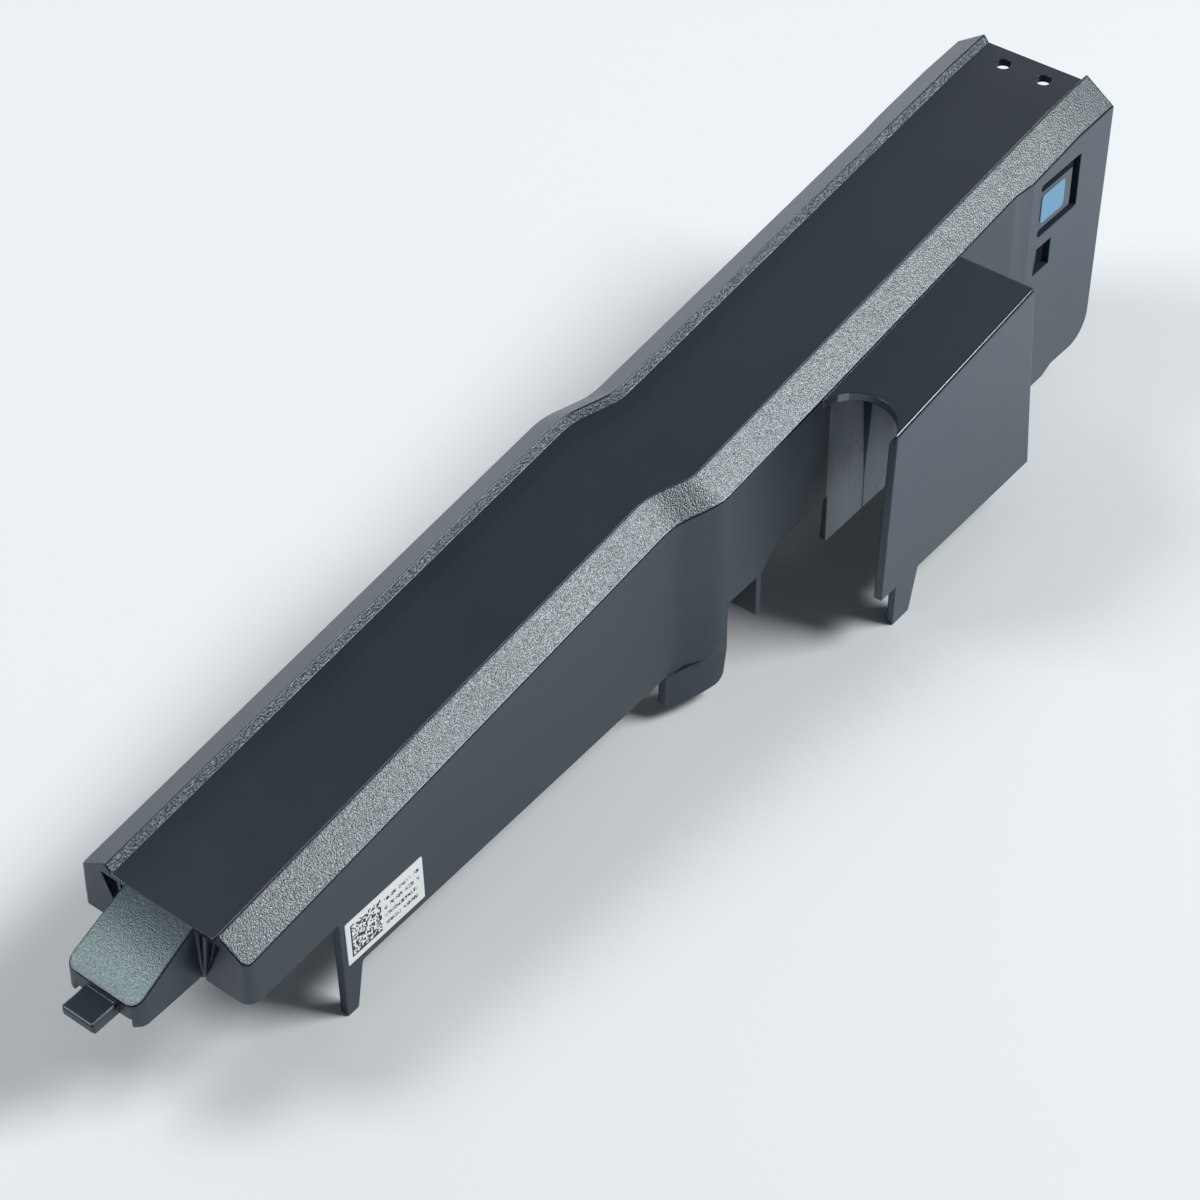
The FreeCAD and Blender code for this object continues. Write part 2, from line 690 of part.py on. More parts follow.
def guard_plate():
    """Plate that hangs from the roof behind the latch and the window."""
    near_x, far_x = window_start - size("ledge_width") / 2, from_far_end("guard_setback")
    low_z = size("window_bottom") - size("guard_drop")
    corners = [
        (near_x, low_z, 2 * small),
        (far_x, low_z, 2 * small),
        (far_x, HIGHEST, 0),
        (near_x, HIGHEST, 0),
    ]
    face_y = ledge_y + size("ledge_reach") - size("guard") / 3
    return side_plate(corners, face_y, face_y + size("guard")).common(outside.Shape)


guard = feature("latch_guard", guard_plate())


def far_wall_cut(corners):
    """Cut through the hood side's wall at the far end."""
    low_z = min(z for _, z, _ in corners)
    face_y = wall_y(RIGHT, from_far_end("latch_setback"), low_z, size("cheek_outset"))
    return side_plate(corners, face_y - CLEAR / 2, face_y + CLEAR / 2)


slot_x, slot_z = from_far_end("latch_setback"), size("latch_slot_bottom")
slot_far, slot_top = slot_x + size("latch_slot_length"), slot_z + size("latch_slot_height")
tab_far = slot_x + size("latch_tab_length")
tab_z, tab_top = size("latch_tab_bottom"), size("latch_tab_bottom") + size("latch_tab_height")
round_end = 0.98 * min(tab_z - slot_z, slot_top - tab_top) / 2
corner = size("latch_corner_radius")
slot = far_wall_cut(
    [
        (slot_x, slot_z, round_end),
        (slot_far, slot_z, corner),
        (slot_far, slot_top, corner / 2),
        (slot_x, slot_top, round_end),
        (slot_x, tab_top, round_end),
        (tab_far, tab_top, corner / 2),
        (tab_far, tab_z, corner / 2),
        (slot_x, tab_z, round_end),
    ]
)
latch_slot = feature("latch_slot", slot)

duct_relief = doc.addObject("Part::Box", "duct_relief")
duct_relief.setExpression("Length", "Sizes.beam_length - Sizes.duct_setback - Sizes.duct_start + 1")
duct_relief.setExpression("Width", "Sizes.wall")
duct_relief.setExpression("Height", "Sizes.raised_bottom")
duct_relief.setExpression("Placement.Base.x", "Sizes.duct_start - 1")
relief_y = wall_y(RIGHT, size("duct_start"), size("raised_bottom")) + size("duct_wall")
duct_relief.Placement.Base.y = relief_y

window = doc.addObject("Part::Box", "catch_window")
window.setExpression("Length", "Sizes.window_size")
window.setExpression("Width", "Sizes.wall * 4")
window.setExpression("Height", "Sizes.window_size")
window.setExpression("Placement.Base.x", "Sizes.beam_length - Sizes.window_setback")
window.setExpression("Placement.Base.z", "Sizes.window_bottom")
window_y = wall_y(RIGHT, window_start, size("window_bottom"), size("cheek_outset"))
window.Placement.Base.y = window_y - 2 * size("wall")

screw_holes = []
for side in (RIGHT, LEFT):
    hole = doc.addObject("Part::Cylinder", f"screw_hole_{len(screw_holes) + 1}")
    hole.setExpression("Radius", "Sizes.screw_hole / 2")
    hole.setExpression("Height", "Sizes.wall * 6")
    hole_x = size("beam_length") - size("screw_setback")
    hole_y = -size("screw_shift") + side * size("screw_pitch") / 2
    low_z = ridge_top(hole_x) - size("floor_depth") - 4 * size("wall")
    hole.Placement = Placement(Vector(hole_x, hole_y, low_z), Rotation())
    screw_holes.append(hole)


# The moulding, put together


def fused(name, *items):
    item = doc.addObject("Part::MultiFuse", name)
    item.Shapes = list(items)
    return item


def cut(name, base, *tools):
    for i, tool in enumerate(tools):
        item = doc.addObject("Part::Cut", name if i == len(tools) - 1 else f"{name}_{i + 1}")
        item.Base = base
        item.Tool = tool
        base = item
    return base


holes = doc.addObject("Part::Compound", "holes")
holes.Links = [duct_relief, latch_slot, window, pockets, nose_notch] + screw_holes
closed = fused("closed_shape", outside, nose)
shell = cut("shell", closed, inside, nose_hollow, below_right, below_left, holes)
hood = cut("hood", hood_shape, hood_space, notch)
body = fused("shroud_body", shell, foot, hood, hood_leg, tongue, ribs, ledge, guard)
body.Label = "shroud_body"
doc.recompute()


# Label and touch mark on the hood side's wall


def sticker(name, length, height, radius, thickness):
    """Flat piece with rounded corners, in its own frame: x along the wall, y up it, z outwards."""
    corners = [(0, 0, radius), (length, 0, radius), (length, height, radius), (0, height, radius)]
    wire = rounded(corners, lambda a, b: Vector(a, b, 0))
    item = feature(name, Part.Face(wire).extrude(Vector(0, 0, thickness)))
    item.Label = name
    return item


def on_wall(x, z, outset):
    """Placement on the hood side's wall at station x and height z."""
    outward = Vector(-RISE * DRAFT, -1, DRAFT).normalize()
    up = Vector(0, DRAFT, 1).normalize()
    return Placement(Vector(x, wall_y(RIGHT, x, z, outset), z), Rotation(up.cross(outward), up, outward))


label = sticker(
    "label",
    size("label_length"),
    size("label_height"),
    size("label_radius"),
    size("label_thickness"),
)
askew = Placement(Vector(), Rotation(Vector(0, 0, 1), size("label_turn")))
label.Placement = on_wall(size("label_start"), size("label_bottom"), 0) * askew

mark = sticker(
    "touch_mark",
    size("mark_length"),
    size("mark_height"),
    size("mark_radius"),
    size("mark_thickness"),
)
mark.Placement = on_wall(from_far_end("mark_setback"), size("mark_bottom"), size("cheek_outset"))
doc.recompute()


# The part's origin: middle of its footprint, on the board

box = body.Shape.optimalBoundingBox(False)
to_origin = Placement(Vector(-box.Center.x, -box.Center.y, -box.ZMin), Rotation())
nodes = (body, label, mark)
for node in nodes:
    node.Placement = to_origin * node.Placement
doc.recompute()

for item in doc.Objects:
    if "Invalid" in item.State or "Error" in item.State:
        raise RuntimeError(f"{item.Label} did not recompute: {item.State}")
    if item.isDerivedFrom("Part::Feature") and (item.Shape.isNull() or not item.Shape.isValid()):
        raise RuntimeError(f"{item.Label} has no sound shape")
if len(body.Shape.Solids) != 1:
    raise RuntimeError("the moulding is not one solid")

os.makedirs("parts", exist_ok=True)
for node in nodes:
    node.Shape.exportStep(f"parts/{node.Label}.step")
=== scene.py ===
from math import radians, tan

import bmesh
import bpy
from bpy.props import FloatProperty, FloatVectorProperty, IntProperty, PointerProperty
from mathutils import Euler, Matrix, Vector


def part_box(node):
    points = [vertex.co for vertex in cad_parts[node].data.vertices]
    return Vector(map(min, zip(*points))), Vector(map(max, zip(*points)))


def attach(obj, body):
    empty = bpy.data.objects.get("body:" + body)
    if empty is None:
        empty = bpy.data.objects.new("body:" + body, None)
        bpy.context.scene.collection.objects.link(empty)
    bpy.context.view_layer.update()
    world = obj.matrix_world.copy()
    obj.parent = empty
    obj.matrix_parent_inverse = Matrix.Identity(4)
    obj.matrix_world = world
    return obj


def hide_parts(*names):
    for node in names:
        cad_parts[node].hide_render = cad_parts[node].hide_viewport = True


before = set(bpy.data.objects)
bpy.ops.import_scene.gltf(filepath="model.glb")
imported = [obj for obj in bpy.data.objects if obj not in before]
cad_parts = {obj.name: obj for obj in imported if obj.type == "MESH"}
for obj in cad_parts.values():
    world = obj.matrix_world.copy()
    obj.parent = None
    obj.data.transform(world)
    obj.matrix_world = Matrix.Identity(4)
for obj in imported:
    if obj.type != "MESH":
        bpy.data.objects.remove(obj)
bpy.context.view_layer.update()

bl_info = {
    "name": "Server Air Baffle Shroud",
    "version": (1, 0, 0),
    "blender": (4, 5, 0),
    "location": "3D View > Sidebar > Baffle",
    "description": "Dresses the moulded air baffle of a server and sets it on a pale studio floor",
    "category": "Object",
}

MM = 0.001

# Where the trough lies in the frame: its near end, its middle line, and the height and pitch of its ridges.
NEAR_END = -147.834 * MM
MIDDLE = 12.334 * MM
RIDGE_HEIGHT = 44.6 * MM
RISE = tan(radians(7.64))

# Across the trough, from its middle line.
RIDGE_HALF = 15.6 * MM
WALL_HALF = 18.0 * MM
RAMP_HALF = 12.0 * MM
SIDESTEP = 5.1 * MM
FAR_WALL = -20.0 * MM
HOOD_INSIDE = -31.5 * MM
HOOD_FACE = -49.2 * MM
HOOD_ROUND = 0.95 * MM

# Along the trough, from its near end.
TONGUE_ROOT = -18.6 * MM
RAMP_HEAD = 0.5 * MM
FLOOR_LIP = 1.0 * MM
RIGHT_JOG = (139.5 * MM, 158.0 * MM)
LEFT_JOG = (150.0 * MM, 168.5 * MM)
HOOD_START = 185.0 * MM
NOTCH = 190.0 * MM
# The run of painted sheen on the glossy wall under the hood, the stretch where it fades in, and the middle
# of the painted dark reflection on it.
SHEEN_RUN = (197.5 * MM, 232.0 * MM)
SHEEN_FADE = (199.0 * MM, 206.0 * MM)
DARK_REFLECTION = 214.0 * MM
HOOD_END = 258.0 * MM
DROOP = 305.0 * MM
SOFT_BEND = 9.0 * MM

# Under the ridges, and above the board.
FLOOR_DEPTH = 2.04 * MM
TOP_DEPTH = 7.0 * MM
RAMP_FOOT = 33.0 * MM
HOOD_TOP = 66.5 * MM

# The painted dark reflection on the glossy wall under the hood: two heights above the board, and half its
# width at each.
DARK_REFLECTION_HEIGHTS = (30.0 * MM, 66.0 * MM)
DARK_REFLECTION_HALVES = (0.30 * MM, 3.4 * MM)

# How far a face may lie off its place, how close corners are before they merge, how little two faces
# turn before they are joined, and how much a sheet's faces turn before their edge is sharp.
SKIN = 0.1 * MM
MERGE = 0.001 * MM
FLAT = radians(0.4)
SHEET_SHARP = radians(30.0)

# The faint cloudy patches in the plastic, and the upright waves in the wall under the hood, where its sheen
# is painted.
PATCH = 14.0 * MM
WAVE = 7.0 * MM
WAVE_DEPTH = 0.30 * MM

# The print on the label: its strokes and letters, and the bare paper round the rows.
STROKE_WIDE = 0.22 * MM
STROKE_TALL = 0.36 * MM
LETTER_WIDE = 0.95 * MM
ROWS = 4
ROWS_START = 1.1 * MM
ROWS_END = 1.3 * MM
ROWS_EDGE = 1.6 * MM

# The colour of the room's even light.
ROOM_TINT = (0.76, 0.89, 1.0, 1.0)

# Where the camera stands and how it is turned.
CAMERA_PLACE = (-0.407576, -0.293948, 0.494882)
CAMERA_TURN = (radians(46.9975), radians(-0.6198), radians(-52.4174))

# The order of the moulding's finishes, as slots on its mesh.
FINISHES = (
    "satin_floor",
    "coarse_band",
    "fine_slope",
    "fine_wall",
    "polished_wall",
    "ramp_grain",
    "hood_side",
    "gloss_tongue",
    "smooth_edge",
    "inner_band",
)


class Reading:
    """One output of a finish's nodes, used in sums as if it were a number."""

    def __init__(self, tree, socket):
        self.tree = tree
        self.socket = socket

    def maths(self, operation, *others, backwards=False):
        node = self.tree.nodes.new("ShaderNodeMath")
        node.operation = operation
        values = (*others, self) if backwards else (self, *others)
        for slot, value in zip(node.inputs, values):
            plug(self.tree, slot, value)
        return Reading(self.tree, node.outputs[0])

    def __add__(self, other):
        return self.maths("ADD", other)

    def __radd__(self, other):
        return self.maths("ADD", other)

    def __sub__(self, other):
        return self.maths("SUBTRACT", other)

    def __rsub__(self, other):
        return self.maths("SUBTRACT", other, backwards=True)

    def __mul__(self, other):
        return self.maths("MULTIPLY", other)

    def __truediv__(self, other):
        return self.maths("DIVIDE", other)

    def __gt__(self, other):
        return self.maths("GREATER_THAN", other)

    def __lt__(self, other):
        return self.maths("LESS_THAN", other)

    def floor(self):
        return self.maths("FLOOR")

    def between(self, low, high):
        return (self > low) * (self < high)


def plug(tree, slot, value):
    """Sets an input to a plain value, or links it to a reading."""
    if isinstance(value, Reading):
        tree.links.new(value.socket, slot)
    else:
        slot.default_value = value


class Finish:
    """A material of the shroud: one Principled shader and the nodes that feed it."""

    def __init__(self, name, **constants):
        self.material = bpy.data.materials.new(name)
        self.material.use_nodes = True
        self.tree = self.material.node_tree
        self.shader = self.tree.nodes["Principled BSDF"]
        for socket, value in constants.items():
            self.set(socket.replace("_", " ").title().replace("Ior", "IOR"), value)

    def set(self, socket, value):
        plug(self.tree, self.shader.inputs[socket], value)

    def node(self, kind, out=0, settings=None, **inputs):
        node = self.tree.nodes.new(kind)
        for key, value in (settings or {}).items():
            setattr(node, key, value)
        for key, value in inputs.items():
            plug(self.tree, node.inputs[key.replace("_", " ")], value)
        return Reading(self.tree, node.outputs[out])

    def place(self):
        return self.node("ShaderNodeTexCoord", out="Object")

    def axes(self, vector):
        node = self.tree.nodes.new("ShaderNodeSeparateXYZ")
        plug(self.tree, node.inputs[0], vector)
        return [Reading(self.tree, out) for out in node.outputs]

    def vector(self, x, y, z):
        return self.node("ShaderNodeCombineXYZ", X=x, Y=y, Z=z)

    def noise(self, where, grain, detail=2.0, rough=0.5):
        """Soft noise whose lumps are about one grain across."""
        return self.node(
            "ShaderNodeTexNoise", Vector=where, Scale=1.0 / grain, Detail=detail, Roughness=rough,
        )

    def speckle(self, where):
        """One random number for each whole step of the place."""
        return self.node("ShaderNodeTexWhiteNoise", settings={"noise_dimensions": "3D"}, Vector=where)

    def spread(self, reading, low, high, to_low=0.0, to_high=1.0):
        """Maps low to high onto another range, and holds the ends."""
        return self.node(
            "ShaderNodeMapRange", Value=reading, From_Min=low, From_Max=high, To_Min=to_low, To_Max=to_high,
        )

    def blend(self, factor, first, second):
        """Mixes two colours."""
        node = self.tree.nodes.new("ShaderNodeMix")
        node.data_type = "RGBA"
        plug(self.tree, node.inputs[0], factor)
        plug(self.tree, node.inputs[6], first)
        plug(self.tree, node.inputs[7], second)
        return Reading(self.tree, node.outputs[2])

    def edge(self, radius):
        """The surface's direction with its edges rounded over, and how near an edge it is, from 0 to 1."""
        rounded = self.node("ShaderNodeBevel", settings={"samples": 6}, Radius=radius)
        plain = self.node("ShaderNodeNewGeometry", out="Normal")
        pair = self.tree.nodes.new("ShaderNodeVectorMath")
        pair.operation = "DOT_PRODUCT"
        plug(self.tree, pair.inputs[0], rounded)
        plug(self.tree, pair.inputs[1], plain)
        return rounded, self.spread(Reading(self.tree, pair.outputs["Value"]), 0.998, 0.97)

    def bump(self, height, depth, over=None):
        lean = {} if over is None else {"Normal": over}
        return self.node("ShaderNodeBump", Height=height, Distance=depth, **lean)


def rgba(colour, lift=1.0):
    return tuple(min(1.0, channel * lift) for channel in colour[:3]) + (1.0,)


def moulded(
    name, look, *, lift, tint, level, roughness, grain, depth, rounding, glints=0.0, overlay=None
):
    """
    Black plastic from a textured mould. The grain is pressed into it and fades out at the rounded edges,
    which come out of the mould smooth. A paler colour on the tips of a coarse grain is painted highlight:
    glints that stand in for the light the grain catches. A last function, when given, changes the colour,
    the height and the roughness of one surface; on the wall under the hood it paints a pale sheen and a dark
    reflection.
    """
    finish = Finish(name, specular_ior_level=level, specular_tint=rgba(tint))
    where = finish.place()
    fine = finish.noise(where, grain, 1.5, 0.6)
    patches = finish.noise(where, PATCH, 3.0, 0.55)
    rounded, edge = finish.edge(rounding)
    dark = rgba(look.plastic, lift * 0.8)
    # Painted glints: the tips of a coarse grain take a paler colour for the light they catch.
    tips = finish.spread(fine, 0.52, 0.75, 0.0, glints)
    grain_glint = finish.blend(tips, dark, rgba(look.grain_glint, 1.0 + 1.4 * glints))
    cloudy = finish.blend(patches, grain_glint, rgba(look.plastic, lift))
    colour = finish.blend(edge * 0.7, cloudy, dark)
    uneven = roughness + (patches - 0.5) * 0.06 + (fine - 0.5) * (2.0 * glints)
    height = fine * (1.0 - edge)
    if overlay is not None:
        colour, waves, uneven = overlay(finish, where, colour, look, uneven)
        height = height + waves / depth
    finish.set("Base Color", colour)
    finish.set("Roughness", uneven * (1.0 - edge) + edge * look.edge_gloss)
    finish.set("Normal", finish.bump(height, depth, rounded))
    return finish.material


def polished_wall(finish, where, colour, look, roughness):
    """
    The wall under the hood: plain up to a clear upright line, then painted pale as a sheen of light on the
    glossy wall, with faint upright waves and a painted dark reflection: an upright streak, wide at its top.
    """
    along, _, height = finish.axes(where)
    start, end = SHEEN_RUN
    # Painted sheen: the pale run stands in for light on the glossy wall; it also carries the waves and a
    # lower roughness.
    painted_sheen = along.between(NEAR_END + start, NEAR_END + end) * (height < HOOD_TOP)
    fade_from, fade_to = SHEEN_FADE
    paler = finish.spread(along, NEAR_END + fade_from, NEAR_END + fade_to, 0.45, 1.0) * painted_sheen
    # Painted dark reflection: a dark, partly metal upright streak that widens towards the top.
    half = finish.spread(height, *DARK_REFLECTION_HEIGHTS, *DARK_REFLECTION_HALVES)
    away = (along - (NEAR_END + DARK_REFLECTION)).maths("ABSOLUTE")
    dark_reflection = finish.spread(away / half, 1.15, 0.75)
    waves = finish.noise(finish.vector(along, 0.0, 0.0), WAVE, 2.0, 0.4)
    pale = finish.blend(paler, colour, rgba(look.painted_sheen))
    finish.set("Metallic", dark_reflection)
    shade = finish.blend(dark_reflection, pale, rgba(look.plastic, 0.3))
    return shade, (waves - 0.5) * painted_sheen * WAVE_DEPTH, roughness + (1.0 - painted_sheen) * 0.12


def shroud_finishes(look):
    """The moulding's finishes, in the order of FINISHES."""
    cool = (0.74, 0.87, 1.0)
    pale = (0.88, 0.97, 1.0)
    green = (0.80, 1.0, 0.99)
    return [
        moulded(
            "satin_floor", look, lift=0.8, tint=cool, level=0.60, roughness=0.42,
            grain=0.35 * MM, depth=0.010 * MM, rounding=0.35 * MM,
        ),
        moulded(
            "coarse_band", look, lift=1.2, tint=pale, level=1.0, roughness=0.34,
            grain=0.40 * MM, depth=0.15 * MM, rounding=0.80 * MM, glints=0.16,
        ),
        moulded(
            "fine_slope", look, lift=1.2, tint=cool, level=1.0, roughness=0.36,
            grain=0.30 * MM, depth=0.03 * MM, rounding=0.50 * MM, glints=0.03,
        ),
        moulded(
            "fine_wall", look, lift=1.5, tint=cool, level=0.75, roughness=0.40,
            grain=0.30 * MM, depth=0.010 * MM, rounding=0.40 * MM,
        ),
        moulded(
            "polished_wall", look, lift=1.0, tint=cool, level=1.0, roughness=0.28,
            grain=0.5 * MM, depth=0.010 * MM, rounding=0.3 * MM, overlay=polished_wall,
        ),
        moulded(
            "ramp_grain", look, lift=1.6, tint=green, level=1.0, roughness=0.36,
            grain=0.36 * MM, depth=0.08 * MM, rounding=0.75 * MM, glints=0.16,
        ),
        # Painted light: the same fine wall with its plastic colour lifted, for the hood's side and the far
        # walls, which catch more light than the near walls.
        moulded(
            "hood_side", look, lift=2.3, tint=cool, level=1.0, roughness=0.36,
            grain=0.30 * MM, depth=0.010 * MM, rounding=0.50 * MM,
        ),
        moulded(
            "gloss_tongue", look, lift=0.9, tint=cool, level=0.65, roughness=0.34,
            grain=0.60 * MM, depth=0.008 * MM, rounding=0.40 * MM,
        ),
        moulded(
            "smooth_edge", look, lift=0.5, tint=cool, level=0.8, roughness=0.20,
            grain=0.60 * MM, depth=0.003 * MM, rounding=0.20 * MM,
        ),
        # Painted highlight: this band's plastic is lifted far above the others and most of its grain tips
        # carry painted glints, standing in for the key light that its grain catches.
        moulded(
            "inner_band", look, lift=3.4, tint=pale, level=1.0, roughness=0.40,
            grain=0.44 * MM, depth=0.24 * MM, rounding=0.15 * MM, glints=1.6,
        ),
    ]


def paper_finish(look, print_, low, high):
    """
    White label stock with a block of dark cells, solid along its left and lower edges, and four rows of
    short strokes. None of it can be read.
    """
    finish = Finish("printed_paper", specular_ior_level=0.4)
    turned = finish.node("ShaderNodeMapping", Vector=finish.place(), Location=(-low.x, 0.0, -low.z))
    x, _, z = finish.axes(turned)
    wide = high.x - low.x
    tall = high.z - low.z

    # The block of cells.
    cell = print_.cell
    block_x = print_.margin
    block_z = 0.5 * (tall - print_.cells * cell)
    column = ((x - block_x) / cell).floor()
    row = ((z - block_z) / cell).floor()
    inside = column.between(-0.5, print_.cells - 0.5) * row.between(-0.5, print_.cells - 0.5)
    framed = ((column < 0.5) + (row < 0.5)).maths("MINIMUM", 1.0)
    dots = (finish.speckle(finish.vector(column, 3.0, row)) > 0.52).maths("MAXIMUM", framed) * inside

    # The rows of strokes.
    text_x = block_x + print_.cells * cell + ROWS_START
    pitch = (tall - 2.0 * ROWS_EDGE) / ROWS
    line = ((z - ROWS_EDGE) / pitch).floor()
    within = (z - ROWS_EDGE) / pitch - line
    stroke = ((x - text_x) / STROKE_WIDE).floor()
    letter = ((x - text_x) / LETTER_WIDE).floor()
    height = ((within * pitch) / STROKE_TALL).floor()
    strokes = finish.speckle(finish.vector(stroke, height, line)) > 0.5
    letters = finish.speckle(finish.vector(letter, 7.0, line)) > 0.16
    ink = strokes * letters * within.between(0.22, 0.68) * line.between(-0.5, ROWS - 0.5)
    ink = ink * x.between(text_x, wide - ROWS_END)

    fibres = finish.noise(finish.place(), 0.5 * MM, 3.0, 0.6)
    paper = finish.blend(fibres, rgba(look.paper, 0.96), rgba(look.paper))
    finish.set("Base Color", finish.blend((dots + ink).maths("MINIMUM", 1.0), paper, rgba(look.ink)))
    finish.set("Roughness", 0.42 + fibres * 0.1)
    finish.set("Normal", finish.bump(fibres, 0.006 * MM))
    return finish.material


def mark_finish(look):
    """The blue of a touch point: a smooth printed film with a faint cloud in it."""
    finish = Finish("touch_blue", specular_ior_level=0.5)
    where = finish.place()
    cloud = finish.noise(where, 3.0 * MM, 2.0, 0.5)
    finish.set("Base Color", finish.blend(cloud, rgba(look.mark, 0.92), rgba(look.mark, 1.08)))
    finish.set("Roughness", 0.32 + cloud * 0.08)
    finish.set("Normal", finish.bump(finish.noise(where, 0.3 * MM), 0.004 * MM))
    return finish.material


def link(name, data):
    thing = bpy.data.objects.new(name, data)
    bpy.context.scene.collection.objects.link(thing)
    return thing


def solid_of(node):
    """A merged working copy of a CAD solid, with its flat faces joined up again."""
    shape = bmesh.new()
    shape.from_mesh(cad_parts[node].data)
    bmesh.ops.remove_doubles(shape, verts=shape.verts, dist=MERGE)
    bmesh.ops.dissolve_limit(shape, angle_limit=FLAT, verts=shape.verts, edges=shape.edges)
    return shape


def piece_from(name, shape, materials, sharp):
    """Ends the work on a shape: a piece at the origin, smooth but for its sharp edges."""
    mesh = bpy.data.meshes.new(name)
    shape.to_mesh(mesh)
    shape.free()
    for material in materials:
        mesh.materials.append(material)
    mesh.shade_smooth()
    mesh.set_sharp_from_angle(angle=sharp)
    return link(name, mesh)


def cut_across(shape, station, chosen):
    """Cuts the chosen faces at one place along the trough."""
    faces = [face for face in shape.faces if chosen(face)]
    edges = {edge for face in faces for edge in face.edges}
    corners = {vert for face in faces for vert in face.verts}
    bmesh.ops.bisect_plane(
        shape, geom=[*faces, *edges, *corners], dist=MERGE, plane_co=(NEAR_END + station, 0.0, 0.0),
        plane_no=(1.0, 0.0, 0.0),
    )


def on_right_wall(face):
    """Whether a face looks right and lies right of the middle line."""
    return face.normal.y < -0.5 and face.calc_center_median().y < MIDDLE


def on_slope(face):
    """Whether a face is a slope beside the trough's top."""
    return 0.5 < face.normal.z < 0.9


def smooth_step(value, low, high):
    """Rises softly from 0 at low to 1 at high."""
    part = min(1.0, max(0.0, (value - low) / (high - low)))
    return part * part * (3.0 - 2.0 * part)


def finish_at(centre, normal):
    """The finish of one face of the moulding, from where it lies and which way it looks."""
    x = centre.x - NEAR_END
    y = centre.y - MIDDLE
    jog = RIGHT_JOG if y < 0.0 else LEFT_JOG
    across = y + SIDESTEP * smooth_step(x, *jog)
    under_ridge = RIDGE_HEIGHT + RISE * x - centre.z
    if x < TONGUE_ROOT:
        return "gloss_tongue"
    if x < RAMP_HEAD:
        return "ramp_grain" if normal.z > 0.3 and abs(y) < RAMP_HALF else "fine_wall"
    if y < HOOD_INSIDE and x > HOOD_START:
        tilted = 0.05 < normal.z < 0.98 or 0.05 < normal.x < 0.98
        if y < HOOD_FACE + HOOD_ROUND and tilted:
            return "smooth_edge"
        return "satin_floor" if normal.z > 0.6 else "hood_side"
    if normal.z > 0.3 and under_ridge < TOP_DEPTH:
        if abs(across) > RIDGE_HALF - SKIN:
            return "coarse_band" if across < 0.0 else "fine_slope"
        return "inner_band" if under_ridge < FLOOR_DEPTH - SKIN else "satin_floor"
    faces_right = normal.y < -0.5
    if x > HOOD_END and faces_right and y < FAR_WALL:
        return "hood_side"
    if NOTCH < x < HOOD_END and faces_right and y > HOOD_INSIDE and across < -WALL_HALF:
        return "polished_wall"
    return "fine_wall"


class BAFFLE_PG_look(bpy.types.PropertyGroup):
    plastic: FloatVectorProperty(
        name="Plastic", description="Colour of the moulded plastic", subtype="COLOR", size=3, min=0, max=1,
        default=(0.013, 0.019, 0.026),
    )
    # Painted glints: the paler colour that the tips of a coarse grain take for the light they catch.
    grain_glint: FloatVectorProperty(
        name="Grain glint", description="Colour of the plastic where a coarse grain catches the light",
        subtype="COLOR", size=3, min=0, max=1, default=(0.16, 0.18, 0.19),
    )
    # Painted sheen: the pale colour stands in for light on the glossy wall under the hood.
    painted_sheen: FloatVectorProperty(
        name="Painted sheen", description="Colour of the polished wall where it is rubbed",
        subtype="COLOR", size=3, min=0, max=1, default=(0.36, 0.42, 0.49),
    )
    edge_gloss: FloatProperty(
        name="Edge roughness", description="Roughness of the smooth rounded edges", subtype="FACTOR",
        default=0.22, min=0.0, max=1.0,
    )
    paper: FloatVectorProperty(
        name="Label stock", description="Colour of the label's paper", subtype="COLOR", size=3, min=0, max=1,
        default=(0.84, 0.86, 0.86),
    )
    ink: FloatVectorProperty(
        name="Label ink", description="Colour of the label's print", subtype="COLOR", size=3, min=0, max=1,
        default=(0.02, 0.02, 0.022),
    )
    mark: FloatVectorProperty(
        name="Touch point", description="Colour of the mark that shows where to press", subtype="COLOR",
        size=3, min=0, max=1, default=(0.125, 0.335, 0.52),
    )
    backdrop: FloatVectorProperty(
        name="Studio floor", description="Colour of the floor under the shroud", subtype="COLOR", size=3,
        min=0, max=1, default=(0.72, 0.75, 0.765),
    )


class BAFFLE_PG_sizes(bpy.types.PropertyGroup):
    edge_round: FloatProperty(
        name="Edge round", description="Rounding of the textured surfaces' outer edges", subtype="DISTANCE",
        unit="LENGTH", default=0.35 * MM, min=0.05 * MM, max=0.36 * MM,
    )
    sharp_angle: FloatProperty(
        name="Sharp angle", description="Edges that turn by more than this are rounded", subtype="ANGLE",
        default=radians(24.0), min=0.0, max=radians(90.0),
    )
    label_corner: FloatProperty(
        name="Label corner", description="Radius of the label's corners", subtype="DISTANCE", unit="LENGTH",
        default=0.7 * MM, min=0.0, max=3.0 * MM,
    )
    floor_span: FloatProperty(
        name="Floor", description="Length of the studio floor's sides", subtype="DISTANCE", unit="LENGTH",
        default=8.0, min=2.0, max=20.0,
    )


class BAFFLE_PG_print(bpy.types.PropertyGroup):
    cells: IntProperty(
        name="Cells", description="Rows and columns of the printed block", default=22, min=4, max=60,
    )
    cell: FloatProperty(
        name="Cell", description="Side of one printed cell", subtype="DISTANCE", unit="LENGTH",
        default=0.44 * MM, min=0.1 * MM, max=2.0 * MM,
    )
    margin: FloatProperty(
        name="Margin", description="Bare edge of the label beside the printed block", subtype="DISTANCE",
        unit="LENGTH", default=1.5 * MM, min=0.0, max=5.0 * MM,
    )


